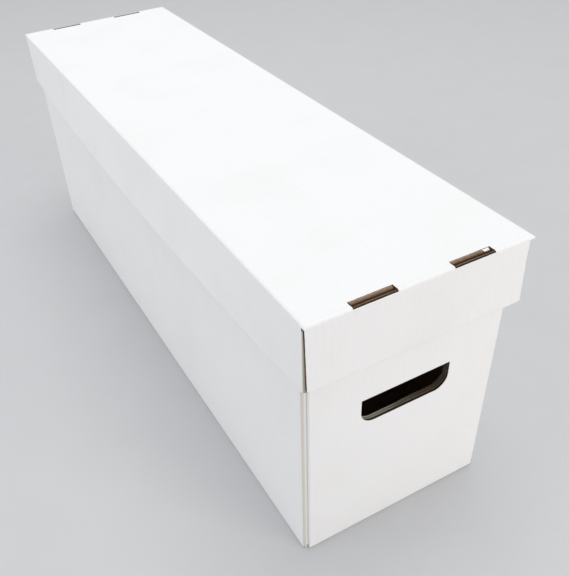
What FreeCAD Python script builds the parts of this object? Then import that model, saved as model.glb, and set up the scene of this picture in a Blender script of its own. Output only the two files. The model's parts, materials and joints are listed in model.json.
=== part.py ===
import FreeCAD, Part

# Long comic book storage box in white-lined corrugated board: a tray with double roll-over ends
# and hand holes, and a telescoping lid folded the same way.
#
# Each blank is one die-cut sheet. It is modelled as its flat panels, which meet at the creases.
# Frame: origin under the middle of the tray, X across, Y along the box (front at -Y), Z up.

import os

import Sketcher
from FreeCAD import Rotation, Vector

SIZES = [
    ("board", 2.6, "thickness of the corrugated board"),
    ("crease_radius", 2.4, "outside radius of a folded crease"),
    ("fit", 0.3, "gap between panels of one blank that slide past each other"),
    ("tray_width", 200.0, "outside of the tray across its side walls"),
    ("tray_length", 728.0, "outside of the tray over its end panels"),
    ("tray_height", 276.2, "floor to the top of the rims"),
    ("tray_end_left_inset", 5.0, "end panel short of the left corner"),
    ("tray_end_right_inset", 3.0, "end panel short of the right corner"),
    ("tray_flap_gap", 0.4, "between the two corner flaps of one end of the tray"),
    ("tray_flap_meet", 3.9, "where the two corner flaps meet, left of the centre line"),
    ("lid_depth", 64.5, "top of the lid to its lower edge"),
    ("lid_side_clearance", 1.4, "lid skirt to tray wall"),
    ("lid_end_clearance", 2.2, "lid end to tray end"),
    ("lid_seat_gap", 0.3, "lid top above the tray's rims"),
    ("lid_end_left_inset", 0.2, "top of the lid end panel short of the left corner"),
    ("lid_end_left_slant", 1.6, "left edge of the lid end panel, further in at its foot"),
    ("lid_end_right_inset", 2.2, "foot of the lid end panel short of the right corner"),
    ("lid_end_right_slant", 3.5, "right edge of the lid end panel, further in at its top"),
    ("lid_corner_relief", 2.5, "notch in a skirt and its corner flap where the lid's creases meet"),
    ("nub_drop", 1.2, "raw edge of the lid end below the top's face, in a lock slot"),
    ("lid_flap_reach", 85.0, "length of a lid corner flap from its skirt"),
    ("skirt_bow", 8.5, "how far the lower edge of a long skirt stands out at mid-length"),
    ("flap_taper", 12.0, "cut corner at the free end of a corner flap"),
    ("slot_centre", 45.0, "middle of a lock slot from the centre line"),
    ("slot_width", 39.0, "length of a lock slot"),
    ("tab_clearance", 1.0, "lock tab to slot, each side"),
    ("hole_width", 90.0, "hand hole across"),
    ("hole_height", 28.4, "hand hole, top crease to lower edge"),
    ("hole_top", 168.4, "top crease of the hand hole above the floor"),
    ("hole_corner", 14.0, "radius of the hand hole's lower corners"),
    ("inner_hole_rise", 3.5, "top of the inner layers' hole above the outer one"),
    ("die_gap", 0.4, "width of the cut round a hand-hole flap"),
    ("flap_angle", 90.0, "outer hand-hole flap, pushed in from closed"),
    ("inner_flap_angle", 108.0, "inner hand-hole flap, pushed in from closed"),
]


class Size:
    """A length or angle: its value now, and the sheet expression that gives it."""

    def __init__(self, value, text):
        self.value = value
        self.text = text

    def _join(self, other, sign, result, swapped=False):
        other_text = other.text if isinstance(other, Size) else str(other)
        first, second = (other_text, self.text) if swapped else (self.text, other_text)
        return Size(result, f"({first} {sign} {second})")

    def __add__(self, other):
        return self._join(other, "+", self.value + number(other))

    def __sub__(self, other):
        return self._join(other, "-", self.value - number(other))

    def __mul__(self, other):
        return self._join(other, "*", self.value * number(other))

    def __rmul__(self, other):
        return self._join(other, "*", self.value * number(other), swapped=True)

    def __truediv__(self, other):
        return self._join(other, "/", self.value / number(other))

    def __neg__(self):
        return Size(-self.value, f"(0 - {self.text})")


def number(length):
    """The plain value of a Size or of a number."""
    return length.value if isinstance(length, Size) else float(length)


doc = FreeCAD.newDocument("StorageBox")
sheet = doc.addObject("Spreadsheet::Sheet", "Sizes")
for row, (alias, value, meaning) in enumerate(SIZES, start=1):
    sheet.set(f"A{row}", meaning)
    sheet.set(f"B{row}", str(value))
    sheet.setAlias(f"B{row}", alias)
doc.recompute()


def size(alias):
    """The driving size of that name in the sheet."""
    return Size(float(getattr(sheet, alias)), f"Sizes.{alias}")


# Driving sizes, and the planes that several panels share

BOARD = size("board")
CREASE = size("crease_radius")
FIT = size("fit")

TRAY_SIDE = size("tray_width") / 2
TRAY_END = size("tray_length") / 2
TRAY_TOP = size("tray_height")
TRAY_LEFT = size("tray_end_left_inset") - TRAY_SIDE
TRAY_RIGHT = TRAY_SIDE - size("tray_end_right_inset")

LID_SIDE = TRAY_SIDE + size("lid_side_clearance") + BOARD
LID_END = TRAY_END + size("lid_end_clearance") + 3 * BOARD
LID_UNDER = TRAY_TOP + size("lid_seat_gap")
LID_TOP = LID_UNDER + BOARD
LID_FOOT = LID_TOP - size("lid_depth")
LID_LEFT = size("lid_end_left_inset") - LID_SIDE
LID_RIGHT = LID_SIDE - size("lid_end_right_inset")
ROLL_SIDE = LID_SIDE - BOARD - FIT
RELIEF = size("lid_corner_relief")

SLOT_NEAR = size("slot_centre") - size("slot_width") / 2
SLOT_FAR = size("slot_centre") + size("slot_width") / 2
TAB_NEAR = SLOT_NEAR + size("tab_clearance")
TAB_FAR = SLOT_FAR - size("tab_clearance")

HOLE_SIDE = size("hole_width") / 2
HOLE_TOP = size("hole_top")
HOLE_FOOT = HOLE_TOP - size("hole_height")
HOLE_CORNER = size("hole_corner")
INNER_TOP = HOLE_TOP + size("inner_hole_rise")
DIE_GAP = size("die_gap")

FRONT, BACK = "front", "back"
LEFT, RIGHT = "left", "right"
HALF_TURN = Rotation(Vector(0, 0, 1), 180)
ZERO = Size(0.0, "0")
NEAR_ZERO = 1e-6
SAME_PLACE = 0.01


def bind(target, path, length):
    """Ties one property of an object to a size."""
    target.setExpression(path, length.text)


def new_body(name, turned=False):
    """A named body, drawn for the front or left and turned half round for the back or right."""
    body = doc.addObject("PartDesign::Body", name)
    body.Label = name
    if turned:
        body.Placement.Rotation = HALF_TURN
    return body


def new_sketch(body, role, offset=None):
    """An empty sketch on one of the body's own planes, moved along that plane's normal."""
    sketch = body.newObject("Sketcher::SketchObject", f"{body.Name}_sketch")
    plane = next(item for item in body.Origin.OriginFeatures if item.Role == role)
    sketch.AttachmentSupport = (plane, [""])
    sketch.MapMode = "FlatFace"
    if offset is not None:
        bind(sketch, "AttachmentOffset.Base.z", offset)
    return sketch


def dimension(sketch, rule, kind, geometry, length):
    """Adds a dimension to a sketch and ties it to a size."""
    label = f"{kind}_of_{geometry}"
    sketch.renameConstraint(sketch.addConstraint(rule), label)
    bind(sketch, f"Constraints.{label}", length)


def fix_point(sketch, geometry, end, axis, place):
    """Sets one coordinate of a point, by a dimension or by putting it on the axis."""
    kind, axis_line = ("DistanceX", -2) if axis == 0 else ("DistanceY", -1)
    if abs(place.value) < NEAR_ZERO:
        sketch.addConstraint(Sketcher.Constraint("PointOnObject", geometry, end, axis_line))
        return
    if place.value > 0:
        rule = Sketcher.Constraint(kind, -1, 1, geometry, end, place.value)
        text = place
    else:
        rule = Sketcher.Constraint(kind, geometry, end, -1, 1, -place.value)
        text = -place
    dimension(sketch, rule, "across" if axis == 0 else "up", geometry, text)


def draw_outline(sketch, corners):
    """Draws a closed, fully dimensioned outline.

    Each corner is (across, up) or (across, up, radius). A rounded corner joins a level side and
    an upright one.
    """
    count = len(corners)
    spots = [Vector(number(corner[0]), number(corner[1]), 0) for corner in corners]
    radii = [corner[2] if len(corner) > 2 else None for corner in corners]

    def cut_back(index, towards):
        """The end of a side: its corner, or the tangent point of the corner's arc."""
        if radii[index] is None:
            return spots[index]
        step = spots[towards] - spots[index]
        return spots[index] + step.normalize() * radii[index].value

    sides = []
    for here in range(count):
        there = (here + 1) % count
        line = Part.LineSegment(cut_back(here, there), cut_back(there, here))
        sides.append(sketch.addGeometry(line))

    level = []
    upright = []
    for here, side in enumerate(sides):
        there = (here + 1) % count
        step = spots[there] - spots[here]
        level.append(abs(step.y) < NEAR_ZERO)
        upright.append(abs(step.x) < NEAR_ZERO)
        if level[here]:
            sketch.addConstraint(Sketcher.Constraint("Horizontal", side))
            fix_point(sketch, side, 1, 1, corners[here][1])
        if upright[here]:
            sketch.addConstraint(Sketcher.Constraint("Vertical", side))
            fix_point(sketch, side, 1, 0, corners[here][0])

    for here in range(count):
        before = here - 1
        if radii[here] is not None:
            round_corner(sketch, sides[before], sides[here], spots[here], radii[here])
            continue
        sketch.addConstraint(Sketcher.Constraint("Coincident", sides[before], 2, sides[here], 1))
        if not (upright[before] or upright[here]):
            fix_point(sketch, sides[here], 1, 0, corners[here][0])
        if not (level[before] or level[here]):
            fix_point(sketch, sides[here], 1, 1, corners[here][1])


def round_corner(sketch, side_in, side_out, spot, radius):
    """Joins two sides with a tangent quarter circle."""
    start = sketch.getPoint(side_in, 2)
    finish = sketch.getPoint(side_out, 1)
    middle = start + finish - spot
    sagitta = (spot - middle).normalize() * radius.value
    arc = sketch.addGeometry(Part.Arc(start, middle + sagitta, finish))
    first, last = (1, 2) if (sketch.getPoint(arc, 1) - start).Length < NEAR_ZERO else (2, 1)
    sketch.addConstraint(Sketcher.Constraint("Tangent", side_in, 2, arc, first))
    sketch.addConstraint(Sketcher.Constraint("Tangent", arc, last, side_out, 1))
    dimension(sketch, Sketcher.Constraint("Radius", arc, radius.value), "radius", arc, radius)


def pad(body, sketch, length, backwards=False):
    """Thickens an outline along its plane's normal, or against it."""
    feature = body.newObject("PartDesign::Pad", f"{body.Name}_pad")
    feature.Profile = sketch
    feature.Reversed = backwards
    bind(feature, "Length", length)
    sketch.Visibility = False
    return feature


def round_edges(body, feature, chosen):
    """Rounds the edges of a crease: those whose bounding box passes the test."""
    doc.recompute()
    names = []
    for index, edge in enumerate(feature.Shape.Edges, start=1):
        if chosen(edge.BoundBox):
            names.append(f"Edge{index}")
    if not names:
        raise RuntimeError(f"{body.Label}: no edge found for its crease")
    fillet = body.newObject("PartDesign::Fillet", f"{body.Name}_crease")
    fillet.Base = (feature, names)
    bind(fillet, "Radius", CREASE)
    return fillet


def lies_at(low, high, place):
    """True where both ends of a range sit at one place."""
    return max(abs(low - number(place)), abs(high - number(place))) < SAME_PLACE


def panel_facing_front(name, corners, outer_face, turned):
    """A flat panel parallel to the ends, from its outer face inwards by one board."""
    body = new_body(name, turned)
    sketch = new_sketch(body, "XZ_Plane", outer_face)
    draw_outline(sketch, corners)
    return body, pad(body, sketch, BOARD, backwards=True)


def cut_hand_hole(body, outer_face, top):
    """Cuts the hand hole: a straight crease on top, rounded lower corners."""
    sketch = new_sketch(body, "XZ_Plane", outer_face)
    draw_outline(sketch, hole_outline(HOLE_SIDE, top, HOLE_FOOT, HOLE_CORNER))
    pocket = body.newObject("PartDesign::Pocket", f"{body.Name}_hand_hole")
    pocket.Profile = sketch
    pocket.Type = "Length"
    bind(pocket, "Length", BOARD)
    sketch.Visibility = False
    return pocket


def hole_outline(half_width, top, foot, radius):
    """Corners of the hand hole or of its flap, clockwise from the top left."""
    return [
        (-half_width, top),
        (half_width, top),
        (half_width, foot, radius),
        (-half_width, foot, radius),
    ]


def slot_notches(edge, depth_line):
    """Corners of the two lock slots along one end of a floor or top, from right to left."""
    corners = []
    for near, far in ((SLOT_FAR, SLOT_NEAR), (-SLOT_NEAR, -SLOT_FAR)):
        corners += [(near, edge), (near, depth_line), (far, depth_line), (far, edge)]
    return corners


def slotted_sheet(name, half_width, half_length, slot_line, underside=None):
    """The floor or the top: a rectangle with two lock slots open to each end crease."""
    body = new_body(name)
    sketch = new_sketch(body, "XY_Plane", underside)
    far_end = [(half_width, half_length)] + slot_notches(half_length, slot_line)
    near_end = [(-across, -along) for across, along in far_end]
    draw_outline(sketch, far_end + [(-half_width, half_length)] + near_end + [(half_width, -half_length)])
    return body, pad(body, sketch, BOARD)


# Tray

def tray_bottom():
    """The floor, with the creases to the side walls and slots for the inner panels' tabs."""
    end = TRAY_END - BOARD
    slot_line = TRAY_END - 3 * BOARD - FIT
    body, sheet_pad = slotted_sheet("tray_bottom", TRAY_SIDE, end, slot_line)

    def at_long_lower_edge(box):
        on_side = lies_at(abs(box.XMin), abs(box.XMax), TRAY_SIDE)
        return on_side and lies_at(box.ZMin, box.ZMax, 0)

    round_edges(body, sheet_pad, at_long_lower_edge)


def tray_wall(side):
    """A side wall, with the upright creases to its corner flaps."""
    body = new_body(f"tray_{side}_wall", turned=side == RIGHT)
    sketch = new_sketch(body, "YZ_Plane", -TRAY_SIDE)
    end = TRAY_END - BOARD
    draw_outline(sketch, [(-end, BOARD), (end, BOARD), (end, TRAY_TOP), (-end, TRAY_TOP)])
    wall = pad(body, sketch, BOARD)

    def at_outer_corner(box):
        on_face = lies_at(box.XMin, box.XMax, -TRAY_SIDE)
        return on_face and lies_at(abs(box.YMin), abs(box.YMax), end)

    round_edges(body, wall, at_outer_corner)


def tray_corner_flap(end, side):
    """A flap folded in from a side wall, caught between the two layers of the end."""
    turned = end == BACK
    drawn_left = (side == LEFT) != turned
    sign = -1 if drawn_left else 1
    hinge = sign * (TRAY_SIDE - BOARD)
    free = sign * size("tray_flap_gap") / 2 - size("tray_flap_meet")
    taper = size("flap_taper")
    foot = BOARD + FIT
    top = TRAY_TOP - BOARD - FIT
    corners = [
        (hinge, foot),
        (free + sign * taper, foot),
        (free, foot + taper),
        (free, top - taper),
        (free + sign * taper, top),
        (hinge, top),
    ]
    outer_face = TRAY_END - BOARD
    body, _ = panel_facing_front(f"tray_{end}_{side}_corner_flap", corners, outer_face, turned)
    cut_hand_hole(body, outer_face, INNER_TOP)


def tray_end_panel(end):
    """The outer layer of an end, creased to the floor, with the hand hole."""
    top = TRAY_TOP - BOARD
    corners = [
        (TRAY_LEFT, ZERO),
        (TRAY_RIGHT, ZERO),
        (TRAY_RIGHT, top),
        (TRAY_LEFT, top),
    ]
    name = f"tray_{end}_end_panel"
    body, _ = panel_facing_front(name, corners, TRAY_END, end == BACK)
    pocket = cut_hand_hole(body, TRAY_END, HOLE_TOP)

    def at_floor_crease(box):
        return lies_at(box.YMin, box.YMax, -TRAY_END) and lies_at(box.ZMin, box.ZMax, 0)

    round_edges(body, pocket, at_floor_crease)


def roll_strip(name, turned, outer_face, start, finish, crown, base):
    """The narrow strip over an end's layers, between two creases rounded on its crown."""
    body = new_body(name, turned)
    sketch = new_sketch(body, "YZ_Plane", start)
    inner_face = outer_face - 3 * BOARD
    corners = [
        (-outer_face, base),
        (-outer_face, crown, CREASE),
        (-inner_face, crown, CREASE),
        (-inner_face, base),
    ]
    draw_outline(sketch, corners)
    pad(body, sketch, finish - start)


def tray_inner_panel(end):
    """The layer rolled down inside, with a taller hand hole and two tabs in the floor's slots."""
    foot = BOARD + FIT
    top = TRAY_TOP - BOARD
    corners = [
        (TRAY_LEFT, foot),
        (-TAB_FAR, foot),
        (-TAB_FAR, FIT),
        (-TAB_NEAR, FIT),
        (-TAB_NEAR, foot),
        (TAB_NEAR, foot),
        (TAB_NEAR, FIT),
        (TAB_FAR, FIT),
        (TAB_FAR, foot),
        (TRAY_RIGHT, foot),
        (TRAY_RIGHT, top),
        (TRAY_LEFT, top),
    ]
    outer_face = TRAY_END - 2 * BOARD
    body, _ = panel_facing_front(f"tray_{end}_inner_panel", corners, outer_face, end == BACK)
    cut_hand_hole(body, outer_face, INNER_TOP)


def hand_flap(name, end, hinge_face, hinge_height, height, angle):
    """A hand-hole flap, drawn closed below its hinge line and turned to where it is pushed in."""
    sign = -1 if end == FRONT else 1
    body = new_body(name)
    sketch = new_sketch(body, "XZ_Plane")
    outline = hole_outline(HOLE_SIDE - DIE_GAP, -DIE_GAP, DIE_GAP - height, HOLE_CORNER - DIE_GAP)
    draw_outline(sketch, outline)
    pad(body, sketch, BOARD, backwards=end == BACK)
    body.Placement.Rotation = Rotation(Vector(-sign, 0, 0), angle.value)
    bind(body, "Placement.Base.y", sign * hinge_face)
    bind(body, "Placement.Base.z", hinge_height)
    bind(body, "Placement.Rotation.Angle", angle)


# Lid

def lid_top():
    """The top sheet, creased all round, with the slots that show at its ends."""
    slot_line = LID_END - 3 * BOARD - FIT
    body, sheet_pad = slotted_sheet("lid_top", LID_SIDE, LID_END, slot_line, LID_UNDER)

    def at_upper_outline(box):
        on_side = lies_at(abs(box.XMin), abs(box.XMax), LID_SIDE)
        on_end = lies_at(abs(box.YMin), abs(box.YMax), LID_END)
        return (on_side or on_end) and lies_at(box.ZMin, box.ZMax, LID_TOP)

    round_edges(body, sheet_pad, at_upper_outline)


def bow_radius(half_chord, bow):
    """Radius of an arc that stands out by the bow over its chord."""
    return (half_chord * half_chord + bow * bow) / (2 * bow)


def skirt_section(body, height, bow=None):
    """A level section of the left skirt: straight, or with both faces bowed outwards."""
    sketch = new_sketch(body, "XY_Plane", height)
    end = LID_END - BOARD
    rounded_end = end - CREASE
    inner = BOARD - LID_SIDE
    outer = -LID_SIDE
    corners = [
        (inner, -end),
        (inner, end),
        (outer + CREASE, end),
        (outer, rounded_end),
        (outer, -rounded_end),
        (outer + CREASE, -end),
    ]
    spots = [Vector(number(across), number(along), 0) for across, along in corners]
    centres = {2: Vector(spots[2].x, spots[3].y, 0), 4: Vector(spots[5].x, spots[4].y, 0)}
    half_chords = {0: end, 3: rounded_end}

    for index, (across, along) in enumerate(corners):
        first = spots[index]
        last = spots[(index + 1) % len(spots)]
        middle = (first + last) / 2
        radius = None
        if index in centres:
            radius = CREASE
            spoke = (middle - centres[index]).normalize() * CREASE.value
            shape = Part.Arc(first, centres[index] + spoke, last)
        elif bow is not None and index in half_chords:
            radius = bow_radius(half_chords[index], bow)
            shape = Part.Arc(first, middle - Vector(bow.value, 0, 0), last)
        else:
            shape = Part.LineSegment(first, last)
        sketch.addGeometry(shape)
        start = 1 if (sketch.getPoint(index, 1) - first).Length < NEAR_ZERO else 2
        fix_point(sketch, index, start, 0, across)
        fix_point(sketch, index, start, 1, along)
        if radius is not None:
            dimension(sketch, Sketcher.Constraint("Radius", index, radius.value), "radius", index, radius)

    join_ends(sketch, spots)
    return sketch


def join_ends(sketch, spots):
    """Makes the last point of each side coincide with the first point of the next."""
    for index, spot in enumerate(spots):
        before = index - 1 if index else len(spots) - 1
        last = 2 if (sketch.getPoint(before, 2) - spot).Length < NEAR_ZERO else 1
        first = 1 if (sketch.getPoint(index, 1) - spot).Length < NEAR_ZERO else 2
        sketch.addConstraint(Sketcher.Constraint("Coincident", before, last, index, first))


def lid_skirt(side):
    """A long skirt: straight at its crease, standing out in a bow along its free lower edge."""
    body = new_body(f"lid_{side}_skirt", turned=side == RIGHT)
    upper = skirt_section(body, LID_UNDER)
    lower = skirt_section(body, LID_FOOT, size("skirt_bow"))
    loft = body.newObject("PartDesign::AdditiveLoft", f"{body.Name}_loft")
    loft.Profile = upper
    loft.Sections = [lower]
    loft.Ruled = True
    upper.Visibility = False
    lower.Visibility = False
    relieve_skirt(body)


def relieve_skirt(body):
    """Notches the skirt's two upper corners, where three creases meet."""
    end = LID_END - BOARD
    sketch = new_sketch(body, "YZ_Plane", -LID_SIDE)
    for first, last in ((-end, RELIEF - end), (end - RELIEF, end)):
        foot = LID_UNDER - RELIEF
        draw_outline(sketch, [(first, foot), (last, foot), (last, LID_UNDER), (first, LID_UNDER)])
    pocket = body.newObject("PartDesign::Pocket", f"{body.Name}_corner_relief")
    pocket.Profile = sketch
    pocket.Reversed = True
    pocket.Type = "Length"
    bind(pocket, "Length", BOARD)
    sketch.Visibility = False


def lid_corner_flap(end, side):
    """A short flap folded in from a skirt, behind the lid's end panel."""
    turned = end == BACK
    drawn_left = (side == LEFT) != turned
    sign = -1 if drawn_left else 1
    hinge = sign * (LID_SIDE - BOARD)
    free = sign * (LID_SIDE - BOARD - size("lid_flap_reach"))
    taper = size("flap_taper")
    foot = LID_FOOT + BOARD + FIT
    top = LID_UNDER - FIT
    corners = [
        (hinge, foot),
        (free + sign * taper, foot),
        (free, foot + taper),
        (free, top),
        (hinge - sign * RELIEF, top),
        (hinge - sign * RELIEF, LID_UNDER - RELIEF),
        (hinge, LID_UNDER - RELIEF),
    ]
    panel_facing_front(f"lid_{end}_{side}_corner_flap", corners, LID_END - BOARD, turned)


def lid_end_panel(end):
    """The outer layer of a lid end, with slanted sides. Its raw upper edge shows in the slots."""
    foot = LID_FOOT + BOARD
    nub = LID_TOP - size("nub_drop")
    corners = [
        (LID_LEFT + size("lid_end_left_slant"), foot),
        (LID_RIGHT, foot),
        (LID_RIGHT - size("lid_end_right_slant"), LID_UNDER),
        (SLOT_FAR, LID_UNDER),
        (SLOT_FAR, nub),
        (SLOT_NEAR, nub),
        (SLOT_NEAR, LID_UNDER),
        (-SLOT_NEAR, LID_UNDER),
        (-SLOT_NEAR, nub),
        (-SLOT_FAR, nub),
        (-SLOT_FAR, LID_UNDER),
        (LID_LEFT, LID_UNDER),
    ]
    panel_facing_front(f"lid_{end}_end_panel", corners, LID_END, end == BACK)


def lid_inner_panel(end):
    """The layer rolled up inside the lid, with two tabs that hook into the top's slots."""
    foot = LID_FOOT + BOARD
    top = LID_UNDER - FIT
    tip = LID_TOP - FIT
    corners = [
        (-ROLL_SIDE, foot),
        (ROLL_SIDE, foot),
        (ROLL_SIDE, top),
        (TAB_FAR, top),
        (TAB_FAR, tip),
        (TAB_NEAR, tip),
        (TAB_NEAR, top),
        (-TAB_NEAR, top),
        (-TAB_NEAR, tip),
        (-TAB_FAR, tip),
        (-TAB_FAR, top),
        (-ROLL_SIDE, top),
    ]
    panel_facing_front(f"lid_{end}_inner_panel", corners, LID_END - 2 * BOARD, end == BACK)


def build_tray():
    """The tray's floor, walls and double ends."""
    tray_bottom()
    for side in (LEFT, RIGHT):
        tray_wall(side)
    for end in (FRONT, BACK):
        for side in (LEFT, RIGHT):
            tray_corner_flap(end, side)
        tray_end_panel(end)
        roll_strip(
            f"tray_{end}_rim", end == BACK, TRAY_END, TRAY_LEFT, TRAY_RIGHT, TRAY_TOP, TRAY_TOP - BOARD
        )
        tray_inner_panel(end)
        hand_flap(
            f"{end}_hand_flap", end, TRAY_END - BOARD, HOLE_TOP, HOLE_TOP - HOLE_FOOT, size("flap_angle")
        )
        hand_flap(
            f"{end}_inner_hand_flap",
            end,
            TRAY_END - 3 * BOARD,
            INNER_TOP,
            INNER_TOP - HOLE_FOOT,
            size("inner_flap_angle"),
        )


def build_lid():
    """The lid's top, skirts and double ends."""
    lid_top()
    for side in (LEFT, RIGHT):
        lid_skirt(side)
    for end in (FRONT, BACK):
        for side in (LEFT, RIGHT):
            lid_corner_flap(end, side)
        lid_end_panel(end)
        roll_strip(
            f"lid_{end}_rim", end == BACK, LID_END, -ROLL_SIDE, ROLL_SIDE, LID_FOOT, LID_FOOT + BOARD
        )
        lid_inner_panel(end)


def check_document():
    """Stops if any object failed, or a panel isn't one sound solid."""
    for item in doc.Objects:
        if "Invalid" in item.State or "Error" in item.State:
            raise RuntimeError(f"{item.Label} failed: {item.State}")
    for body in doc.findObjects("PartDesign::Body"):
        shape = body.Shape
        if shape.isNull() or not shape.isValid() or len(shape.Solids) != 1:
            raise RuntimeError(f"{body.Label} isn't one sound solid")


build_tray()
build_lid()
doc.recompute()
check_document()

os.makedirs("parts", exist_ok=True)
for body in doc.findObjects("PartDesign::Body"):
    body.Shape.exportStep(f"parts/{body.Label}.step")
    box = body.Shape.BoundBox
    print(f"{body.Label}: {box.XLength:.1f} x {box.YLength:.1f} x {box.ZLength:.1f} mm")
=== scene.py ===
"""A long comic book storage box in white-lined corrugated board, with its lid on.

Each panel of the two folded blanks is built as the real board is: a white outer liner that turns
over at its creases, a fluted middle sheet, and a brown inner liner. Cuts show the flutes.
"""

import json
import logging
import math
from dataclasses import dataclass, field
from enum import Enum
from typing import Callable, Sequence

import bmesh
import bpy
from mathutils import Matrix, Vector, noise


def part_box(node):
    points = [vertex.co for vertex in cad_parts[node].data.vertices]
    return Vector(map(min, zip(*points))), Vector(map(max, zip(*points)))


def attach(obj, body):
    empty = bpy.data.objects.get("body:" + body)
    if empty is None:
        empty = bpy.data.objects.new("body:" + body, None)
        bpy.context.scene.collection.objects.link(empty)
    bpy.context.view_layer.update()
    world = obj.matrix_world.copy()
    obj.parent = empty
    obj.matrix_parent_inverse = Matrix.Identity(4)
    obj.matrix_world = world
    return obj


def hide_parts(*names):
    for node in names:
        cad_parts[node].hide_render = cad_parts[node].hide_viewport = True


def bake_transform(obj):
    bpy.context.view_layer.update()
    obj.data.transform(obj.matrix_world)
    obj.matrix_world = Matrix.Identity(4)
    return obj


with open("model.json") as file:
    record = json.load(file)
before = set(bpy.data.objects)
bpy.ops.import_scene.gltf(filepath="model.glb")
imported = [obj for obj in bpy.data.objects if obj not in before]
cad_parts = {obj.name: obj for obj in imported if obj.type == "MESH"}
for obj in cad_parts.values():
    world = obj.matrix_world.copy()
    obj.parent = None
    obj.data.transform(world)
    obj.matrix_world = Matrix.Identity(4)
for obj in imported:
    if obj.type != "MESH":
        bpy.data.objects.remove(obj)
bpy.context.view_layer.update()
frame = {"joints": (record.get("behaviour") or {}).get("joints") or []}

log = logging.getLogger("storage_box")

MM = 0.001
ACROSS = Vector((1, 0, 0))
ALONG = Vector((0, 1, 0))
UP = Vector((0, 0, 1))
# A side of a notch at this distance is left open.
FAR_AWAY = 10.0
# Nearer than this counts as touching.
TOUCH = 1e-6
# A place this near a hole, a slot or a panel's edge still counts as lying at it.
BESIDE = 1 * MM

Socket = bpy.types.NodeSocket


@dataclass(frozen=True)
class Board:
    """The make-up of the corrugated board and the marks of its making, in metres.

    Attributes:
        thickness: The whole board.
        liner: Each liner.
        medium: The fluted sheet.
        pitch: From flute to flute.
        steps_per_flute: The count of faces over one flute.
        crease_radius: The bend of the outer liner over a crease.
        crease_steps: The count of faces round that bend.
        trough_gap: From that bend to the trough that the scoring wheel leaves.
        trough_width: The width of the trough.
        trough_depth: Its depth.
        trough_steps: The count of faces across it.
        wear_width: How far a crease's wear reaches.
        press_radius: The bend of a liner pressed over a cut.
        press_steps: The count of faces round that bend.
        press_room: How far the fluted sheet stays behind such a liner.
        cut_room: How far the fluted sheet stays behind any other cut.
        tab_press: How far down the edge the inner liner is pressed over a tab's tip.
        fray_step: The spacing of points along a cut edge.
        fray_depth: The most that a cut edge is uneven.
        fray_waves: How often that changes along the edge, per metre.
        grime_depths: How far below a face the grime and painted shade of a cut start and are full.
    """

    thickness: float = 2.6 * MM
    liner: float = 0.28 * MM
    medium: float = 0.22 * MM
    pitch: float = 6.4 * MM
    steps_per_flute: int = 10
    crease_radius: float = 2.4 * MM
    crease_steps: int = 6
    trough_gap: float = 0.3 * MM
    trough_width: float = 5.0 * MM
    trough_depth: float = 0.16 * MM
    trough_steps: int = 6
    wear_width: float = 5.0 * MM
    press_radius: float = 1.2 * MM
    press_steps: int = 5
    press_room: float = 0.4 * MM
    cut_room: float = 0.1 * MM
    tab_press: float = 2.21 * MM
    fray_step: float = 3.0 * MM
    fray_depth: float = 0.16 * MM
    fray_waves: float = 260.0
    grime_depths: tuple = (0.1 * MM, 0.8 * MM)

    @property
    def swing(self) -> float:
        """Height of a flute's middle line above or below the middle of the board."""
        return self.thickness / 2 - self.liner - self.medium / 2


BOARD = Board()


class Side(Enum):
    """What a face of the finished board is made of, by material slot."""

    WHITE = 0
    KRAFT = 1
    RAW = 2


class Ribs(Enum):
    """The direction in which one flute follows the next, for the faint ribs on the liners."""

    ACROSS_BOX = "X"
    UP_THE_SIDE = "Z"


class End(Enum):
    """The two ends of the box, by the way that each faces."""

    FRONT = -1
    BACK = 1

    @property
    def word(self) -> str:
        """The end's name in a node."""
        return self.name.lower()

    @property
    def out(self) -> Vector:
        """The way that the end faces."""
        return ALONG * self.value


def hand(side: int) -> str:
    """The name of a side of the box: -1 is left."""
    return "left" if side < 0 else "right"


@dataclass(frozen=True)
class Tint:
    """A colour that shows in soft marks over the one below it.

    Attributes:
        colour: The colour.
        size: Width of one mark in metres.
        start: Where in the noise the marks begin.
        full: Where they are full.
        most: The most that they cover.
        detail: Octaves of finer noise.
        stretch: How much longer they are along each axis.
    """

    colour: tuple
    size: float
    start: float
    full: float
    most: float
    detail: float
    stretch: tuple = (1, 1, 1)


@dataclass(frozen=True)
class Relief:
    """Soft bumps of one size and depth in metres, with octaves of finer ones on them."""

    size: float
    depth: float
    detail: float


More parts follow.
